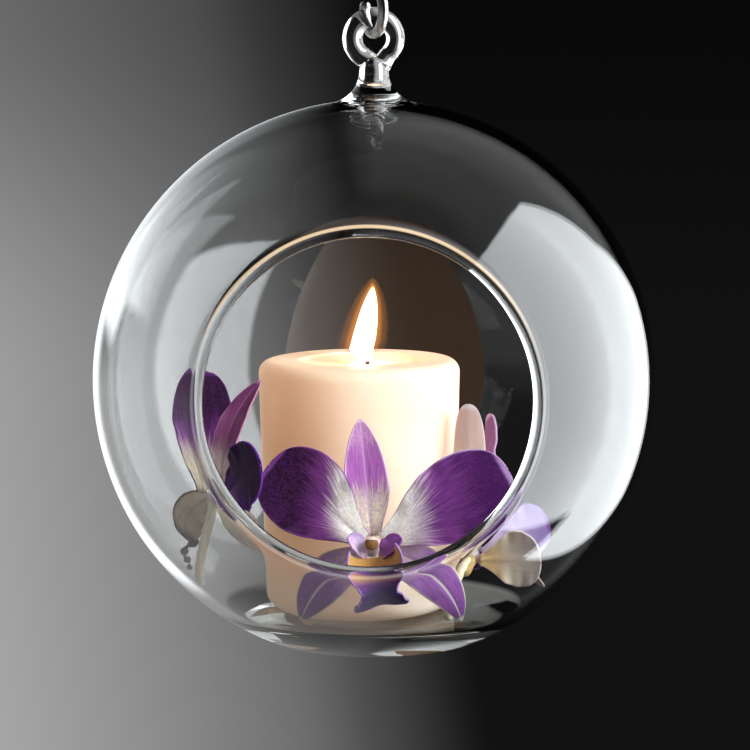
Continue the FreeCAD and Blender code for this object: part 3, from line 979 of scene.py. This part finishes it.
column_skin = grained("column_skin", 500.0, (226, 204, 214), (244, 236, 232), (0.4, 0.2), (0.0001, 0.5),
                      Subsurface_Weight=0.3, Subsurface_Scale=0.0015)
anther_skin = grained("anther_skin", 1400.0, (92, 58, 38), (150, 110, 66), (0.6, 0.3), (0.0001, 0.6))
spur_skin = grained("ochre_spur", 420.0, (184, 148, 82), (218, 196, 140), (0.45, 0.2), (0.00015, 0.5),
                    Subsurface_Weight=0.25, Subsurface_Scale=0.0015)


def arc_line(first, middle, last, count):
    """Points of the circle through three points, from the first to the last."""
    a = middle - first
    b = last - first
    normal = a.cross(b)
    if normal.length < 1e-9:
        return [first.lerp(last, t) for t in np.linspace(0.0, 1.0, count)]
    to_centre = normal.cross(a) * b.length_squared + b.cross(normal) * a.length_squared
    centre = first + to_centre / (2.0 * normal.length_squared)
    start = first - centre
    normal = normal.normalized()
    across = normal.cross(start)
    end = last - centre
    sweep = math.atan2(end.dot(across), end.dot(start)) % (2.0 * math.pi)
    return [centre + start * math.cos(t) + across * math.sin(t) for t in np.linspace(0.0, sweep, count)]


def bloom(name, heart, facing, stem_end, stem_bow, spur, tepals):
    """One bloom: its stem with the column, a spur if it shows, and its tepals in rows of tepal's terms."""
    facing = unit(Vector(facing))
    bend = (heart + stem_end) / 2.0 + Vector(stem_bow) / 1000.0
    line = arc_line(heart, bend, stem_end, stem_stations)
    taper = [1.0 + 0.5 * math.exp(-n / 4.0) + 0.14 * math.sin(n * 0.7) ** 2 for n in range(stem_stations)]
    round_line, round_taper = rounded_ends(line, stem_diameter)
    taper = [taper[0]] * cap_steps + taper + [taper[-1]] * cap_steps
    round_taper = [w * t for w, t in zip(round_taper, taper)]
    stem = round_tube(name + "_stem_tube", round_line, stem_diameter, stem_skin.owner, round_taper)
    post = column_piece(name + "_column", heart, facing, column_skin, anther_skin)
    made = [stem, post]
    if spur:
        knob_end = heart + Vector(spur) / 1000.0
        knob_points, knob_taper = rounded_ends([heart.lerp(knob_end, t) for t in np.linspace(0.0, 1.0, 10)],
                                               spur_diameter)
        made.append(round_tube(name + "_spur", knob_points, spur_diameter, spur_skin.owner, knob_taper))
    for part in made:
        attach(part, "root")
        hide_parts(name + "_stem")
    for row in tepals:
        label, finish, slot = row[0], row[1], row[2]
        made = tepal(name + "_" + label + "_tissue", finish, heart, facing, *row[3:12], **row[12])
        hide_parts(name + "_" + label)


white = (250, 245, 236)
cream = (240, 230, 200)
tan = (190, 168, 134)
ink = (34, 7, 34)
front_dorsal = tissue("front_dorsal", (240, 232, 206), (178, 108, 184), (224, 176, 214), 0.36, 0.78, 0.32,
                      rim=(228, 200, 232), rim_width=0.1, rib=(214, 168, 222), rib_strength=0.6,
                      vein=(126, 52, 128), vein_strength=0.6, mottle=0.4)
front_left = tissue("front_left", white, (118, 56, 124), ink, 0.30, 0.52, 0.24, lean=-0.24,
                    vein=(66, 18, 88), vein_strength=0.6, rim=(120, 66, 140), rim_width=0.025)
front_right = tissue("front_right", white, (128, 62, 140), (70, 22, 84), 0.30, 0.62, 0.24, lean=0.1,
                     vein=(62, 18, 96), vein_strength=0.6, rim=(190, 150, 206), rim_width=0.03)
front_lateral = tissue("front_lateral", (236, 214, 232), (178, 124, 196), (150, 90, 168), 0.26, 0.6, 0.34,
                       rim=cream, rim_width=0.1, rib=white, rib_strength=0.9, vein=(98, 46, 120),
                       vein_strength=0.6, mottle=0.4)
lip_tissue = tissue("front_lip", (208, 160, 84), (132, 72, 148), (60, 24, 104), 0.22, 0.36, 0.12,
                    rim=(176, 140, 204), rim_width=0.05, vein=(38, 12, 66), vein_strength=0.6)
left_lobe = tissue("left_lobe", (222, 176, 196), (226, 208, 232), (206, 178, 224), 0.2, 0.7, 0.3,
                   rim=(206, 172, 224), rim_width=0.12, vein=(150, 96, 190), vein_strength=0.15)
right_lobe = tissue("right_lobe", (206, 164, 150), (150, 92, 158), (124, 66, 140), 0.2, 0.6, 0.3,
                    rim=(112, 60, 130), rim_width=0.12, vein=(96, 46, 122), vein_strength=0.4)
back_cream = tissue("cream_sepal", cream, (242, 232, 212), (236, 216, 206), 0.3, 0.8, 0.25,
                    rim=(218, 192, 180), rim_width=0.06, vein=tan, vein_strength=0.35, mottle=0.15)
ochre_cream = tissue("ochre_sepal", (226, 190, 138), (242, 228, 208), (246, 240, 232), 0.34, 0.7, 0.25,
                     rim=(232, 216, 214), rim_width=0.05, vein=tan, vein_strength=0.3, mottle=0.15)
withered = tissue("withered_sepal", (250, 240, 220), (234, 220, 196), (70, 40, 42), 0.34, 0.84, 0.25,
                  lean=0.2, rim=(66, 36, 44), rim_width=0.16, vein=(136, 110, 88), vein_strength=0.4)
deep_back = tissue("deep_petal", cream, (122, 60, 138), ink, 0.34, 0.54, 0.26,
                   vein=(48, 14, 62), vein_strength=0.6, rim=(96, 44, 112), rim_width=0.03)
deep_side = tissue("side_petal", (150, 104, 170), (88, 30, 118), (38, 6, 54), 0.1, 0.4, 0.3, lean=-0.3,
                   vein=(26, 4, 40), vein_strength=0.5, rim=(104, 44, 150), rim_width=0.05)
mauve_back = tissue("mauve_sepal", (232, 218, 208), (150, 84, 132), (122, 58, 104), 0.26, 0.66, 0.25,
                    rib=(196, 142, 180), rib_strength=0.5, vein=(92, 40, 84), vein_strength=0.5,
                    rim=(196, 140, 170), rim_width=0.05)
violet_back = tissue("violet_petal", cream, (176, 118, 182), (140, 82, 150), 0.3, 0.7, 0.26,
                     vein=(96, 46, 112), vein_strength=0.5, rim=(206, 168, 214), rim_width=0.06)
lavender = tissue("lavender_petal", (214, 200, 222), (188, 168, 212), (170, 146, 206), 0.3, 0.7, 0.3,
                  vein=(156, 122, 194), vein_strength=0.35, rim=(140, 86, 180), rim_width=0.05)
pink_cream = tissue("pale_sepal", cream, (242, 214, 200), (240, 206, 198), 0.3, 0.8, 0.3,
                    vein=(214, 178, 166), vein_strength=0.3, rim=(250, 236, 240), rim_width=0.07)

front_heart = wall_place(0.9, 23.5, 13.2)
front_facing = (0, -1.0, 0.26)
bloom("front", front_heart, front_facing, wall_place(27.5, 8.5, 7.5), (-1.5, 4.0, 3.5), None, (
    ("dorsal_sepal", front_dorsal, "mauve_sepal", "sepal", (-3.4, 9.5, 31.8), (0.1, -1, 0.2),
     11.4, 0.03, 0.0, 0.16, 0.16, -1.6, {"frill": 0.0003, "crease": 0.0005}),
    ("left_petal", front_left, "purple_petal", "petal", (-26.4, 4.0, 20.6), (0.1, -1, 0.2),
     22.0, 0.03, 0.0, 0.1, 0.1, 0.2, {"frill": 0.0007, "crease": 0.0006, "phase": 0.6}),
    ("right_petal", front_right, "purple_petal", "petal", (34.6, 0.0, 19.8), (-0.1, -1, 0.2),
     21.8, 0.03, 0.0, 0.1, 0.1, 0.2, {"frill": 0.0007, "crease": 0.0006, "phase": 2.1}),
    ("left_sepal", front_lateral, "mauve_sepal", "sepal", (-18.2, 8.2, -19.4), (-0.1, -1.0, 0.1),
     11.0, 0.1, 0.08, -0.12, -0.12, -1.6, {"frill": 0.0003, "crease": 0.0006}),
    ("right_sepal", front_lateral, "mauve_sepal", "sepal", (22.4, 9.6, -19.4), (0.1, -1.0, 0.1),
     11.0, 0.1, -0.12, -0.12, -0.12, -1.6, {"frill": 0.0003, "crease": 0.0006}),
    ("lip", lip_tissue, "violet_lip", "lip", (2.3, 1.6, -14.2), (0, -1, 0.4),
     15.6, 0.32, 0.0, 1.2, 0.2, 2.0, {"frill": 0.0006, "frill_count": 9.0}),
))

# The front bloom's lip has two side lobes that rise on either side of its throat.
throat = front_heart + Vector((0.0, -2.2, -5.4)) / 1000.0
for side, finish, tip, face in (("left", left_lobe, (-5.6, -1.6, 9.0), (0.8, -1.0, 0.2)),
                                ("right", right_lobe, (7.2, -1.6, 8.6), (-0.8, -1.0, 0.2))):
    made = tepal("front_lip_%s_lobe" % side, finish, throat, unit(Vector(front_facing)), "petal",
                 tip, face, 4.8, 0.12, 0.0, 0.3, 0.4, 0.6, 0.0003, 5.0)
    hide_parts("front_lip")

left_heart = wall_place(-55.0, 33.3, 16.4)
bloom("left", left_heart, (0.8, 0.5, 0.3), wall_place(-62.7, 10.6, 1.4), (-0.3, -5.5, 2.35), None, (
    ("dorsal_sepal", mauve_back, "mauve_sepal", "sepal", (11.4, 2.4, 30.6), (-0.4, -0.9, 0.2),
     7.2, 0.1, -0.07, 0.2, 0.2, 2.6, {"frill": 0.0003, "crease": 0.0005}),
    ("left_petal", deep_back, "purple_petal", "petal", (-4.8, 11.0, 32.0), (0.3, -0.9, 0.0),
     15.6, -0.02, 0.0, 0.1, 0.1, -2.5, {"frill": 0.0008, "crease": 0.0008, "phase": 1.0}),
    ("right_petal", deep_side, "purple_petal", "petal", (12.6, -20.6, 11.6), (-0.86, -0.5, 0.0),
     17.6, 0.04, 0.0, 0.1, 0.1, 1.9, {"frill": 0.0006, "crease": 0.0008, "phase": 0.3}),
    ("left_sepal", withered, "cream_sepal", "sepal", (-6.4, 8.2, -13.0), (-0.1, -1.0, -0.2),
     10.4, 0.04, 0.24, -0.2, -0.2, 0.6, {"frill": 0.0005, "crease": 0.0004}),
    ("right_sepal", back_cream, "cream_sepal", "sepal", (12.2, -6.0, -12.4), (0.2, -0.8, 0.5),
     7.4, 0.1, 0.0, -0.1, -0.1, 0.2, {"frill": 0.0003, "crease": 0.0004}),
    ("lip", lip_tissue, "violet_lip", "lip", (6.5, 3.0, -8.6), (0.5, 0.6, 0.5),
     9.0, 0.26, 0.0, 1.0, 0.2, 2.8, {"frill": 0.0003, "frill_count": 9.0}),
))

# The left bloom's lower sepal has withered, and its tip hangs as a dark curled wisp.
wisp_skin = grained("withered_wisp", 900.0, (44, 24, 40), (104, 82, 92), (0.7, 0.2), (0.0003, 0.8))
wisp_bends = ((-6.0, 8.2, -12.4), (-9.2, 9.6, -14.4), (-9.8, 10.8, -17.0), (-8.2, 12.0, -18.8),
              (-8.6, 13.0, -21.0))
wisp_knots = [left_heart + Vector(p) / 1000.0 for p in wisp_bends]
wisp_line = []
for a, b in zip(wisp_knots, wisp_knots[1:]):
    wisp_line += [a.lerp(b, t) for t in np.linspace(0.0, 1.0, 7)[:-1]]
for _ in range(6):
    smoothed = [(a + b + c) / 3.0 for a, b, c in zip(wisp_line, wisp_line[1:], wisp_line[2:])]
    wisp_line = wisp_line[:1] + smoothed + wisp_line[-1:]
wisp_taper = [1.0 + 0.45 * math.sin(n * 0.9) - 0.022 * n for n in range(len(wisp_line))]
wisp = round_tube("left_sepal_wisp", wisp_line, 0.0018, wisp_skin.owner, wisp_taper, 12)
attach(wisp, "root")
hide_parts("left_left_sepal")

bloom("right", wall_place(51.7, 17.2, 17.9), (0.2, 0.95, 0.25), wall_place(32.0, 3.9, 4.1), (0.0, -2.0, 3.25),
      (-1.6, -4.0, -2.6), (
    ("dorsal_sepal", pink_cream, "cream_sepal", "petal", (-0.4, 3.2, 39.5), (0.3, 1.0, 0.1),
     8.8, 0.03, 0.0, 0.16, 0.16, -1.8, {"frill": 0.0003, "crease": 0.0004}),
    ("left_petal", violet_back, "purple_petal", "petal", (4.8, 18.2, 34.7), (1.0, 0.25, 0.0),
     15.0, 0.05, 0.0, 0.1, 0.1, 0.8, {"frill": 0.0006, "crease": 0.0006}),
    ("right_petal", lavender, "purple_petal", "petal", (20.6, 5.2, 8.2), (0.2, 1.0, 0.3),
     16.0, 0.04, 0.0, 0.1, 0.1, 0.6, {"frill": 0.0006, "crease": 0.0006}),
    ("left_sepal", ochre_cream, "cream_sepal", "petal", (18.2, -4.2, -0.1), (0.35, 1.0, 0.25),
     16.0, 0.1, 0.0, -0.1, -0.1, -2.0, {"frill": 0.0005, "crease": 0.0004, "frill_count": 4.0}),
    ("right_sepal", back_cream, "cream_sepal", "sepal", (20.2, 12.4, -10.9), (0.35, 0.3, 0.9),
     9.0, 0.1, 0.0, -0.1, -0.1, 0.9, {"frill": 0.0004, "crease": 0.0004}),
    ("lip", lip_tissue, "violet_lip", "lip", (0.6, 13.0, -6.0), (0.0, 0.3, 1.0),
     9.0, 0.16, 0.0, 1.0, 0.2, 3.0, {"frill": 0.0003, "frill_count": 9.0}),
))

# The studio: a plain pale floor well below the hanging globe, soft lamps on both sides, and a plain
# backdrop that runs from grey on the left to near black on the right. A tall window and a bright wall
# show only in reflections and through the glass.
floor_mesh = bpy.data.meshes.new("pale_floor")
turns = [2.0 * math.pi * n / 96 for n in range(96)]
floor_mesh.from_pydata([(0.7 * math.cos(a), 0.7 * math.sin(a), -0.2) for a in turns], [], [tuple(range(96))])
floor = bpy.data.objects.new("pale_floor", floor_mesh)
bpy.context.collection.objects.link(floor)
paper = new_finish("pale_floor_paper")
grain = paper.noise(paper.place(), 40.0, 3.0)
paper.set(Base_Color=paper.mix(grain, shade(208, 208, 206), shade(216, 216, 214)),
          Roughness=0.8 + grain * 0.1)
floor_mesh.materials.append(paper.owner)
floor.visible_glossy = False
floor.visible_transmission = False


soft_lamp_size = 0.9
for name, power, colour, place in (("right_window", 30.0, (0.97, 0.99, 1.0), (1.1, -0.6, 0.6)),
                                   ("left_window", 2.4, (1.0, 0.97, 0.93), (-1.1, -0.7, 0.55)),
                                   ("overhead", 3.0, (1.0, 1.0, 1.0), (0.0, -0.5, 1.3))):
    lamp = hidden_lamp(name, "AREA", power, colour, place)
    lamp.data.size = soft_lamp_size
    lamp.rotation_euler = (globe_centre - Vector(place)).to_track_quat("-Z", "Y").to_euler()

studio = Finish(bpy.data.worlds.new("studio"))
bpy.context.scene.world = studio.owner
sky = studio.node("ShaderNodeTexCoord", output="Generated")
x, y, z = studio.axes(sky)
beside = abs(x).most(0.02)
forward = y / beside
height = z / beside


def between(value, low, high, soft=0.03):
    """One where the value lies from low to high, with a soft edge at both."""
    return (value - low).step(-soft, soft) * (high - value).step(-soft, soft)


# A tall window stands to the right, in a near and a far pane. Places are shares of its distance.
pane_edges = (-0.62, 0.44, 2.05)
pane_light = {"near": 5.0, "far": 3.1}
near_pane = between(forward, pane_edges[0], pane_edges[1]) * between(height, forward * 0.68 - 1.02, 1.19)
far_top = (2.0 - forward * 1.25).most(1.05 - forward * 0.45).least(1.17)
far_pane = between(forward, pane_edges[1], pane_edges[2]) * between(height, forward * 0.333 - 1.4, far_top)
light_path = "ShaderNodeLightPath"
walls_passed = studio.node(light_path, output="Transmission Depth")
inside = walls_passed.step(2.2, 3.4)
far_light = forward.most(0.4) ** -0.75 * (1.0 - inside * 0.7) * pane_light["far"]
right_window = x.step(0.0, 0.05) * (near_pane * pane_light["near"] + far_pane * far_light)
# A bright wall stands behind on the left and fades upwards. Low down it starts farther back.
over_wall = (height - 0.23).most(0.0)
fading = over_wall.maths("EXPONENT", over_wall * -1.8) * (2.0 - forward.step(1.9, 2.2))
high_wall = (forward + height * 0.7).step(1.02, 1.10).most(height.step(0.18, 0.25)) * height.step(-0.05, 0.1)
low_wall = forward.step(1.95, 2.15) * height.step(-1.6, -1.1) * (1.0 - height.step(-0.05, 0.1))
left_wall = (x * -1.0).step(0.0, 0.05) * forward.step(0.2, 0.75) * (high_wall * fading + low_wall)
left_wall = left_wall * (1.0 - inside * 0.9)

# The backdrop darkens from left to right and from low to high, along a slanted edge.
slant = x * 0.937 + z * 0.151 + 0.0581
backdrop = ((slant * -2.7).most(0.0).least(0.28) + 0.1) * (1.0 - slant.step(-0.02, 0.035)) + 0.006
backdrop = backdrop * (1.0 - z.step(-0.118, 0.002) * 0.52) * (1.0 - z.step(0.02, 0.2) * 0.75)
reflected = studio.node(light_path, output="Glossy Depth").least(1.0)
refracted = walls_passed.least(1.0)
scattered = studio.node(light_path, output="Diffuse Depth").least(1.0)
aside = x.step(0.3, 0.6) * (1.0 - reflected)
backdrop = backdrop * (1.0 - aside) + aside * 0.19
shown = reflected.most(refracted * between(forward, 0.5, 4.0, 0.1))
plain = studio.node("ShaderNodeBackground", None, {"Color": backdrop, "Strength": 1.0})
bright = studio.node("ShaderNodeBackground", None, {"Color": (0.93, 0.97, 1.0),
                                                    "Strength": (right_window + left_wall) * shown})
dim = studio.node("ShaderNodeBackground", None, {"Color": (0.5, 0.5, 0.51), "Strength": 0.35})
seen = studio.node("ShaderNodeAddShader", None, {0: plain, 1: bright})
everything = studio.node("ShaderNodeMixShader", None, {0: scattered, 1: seen, 2: dim})
studio.tree.links.new(everything.socket, studio.output.inputs["Surface"])

scene_view = bpy.context.scene.view_settings
scene_view.view_transform = "Standard"
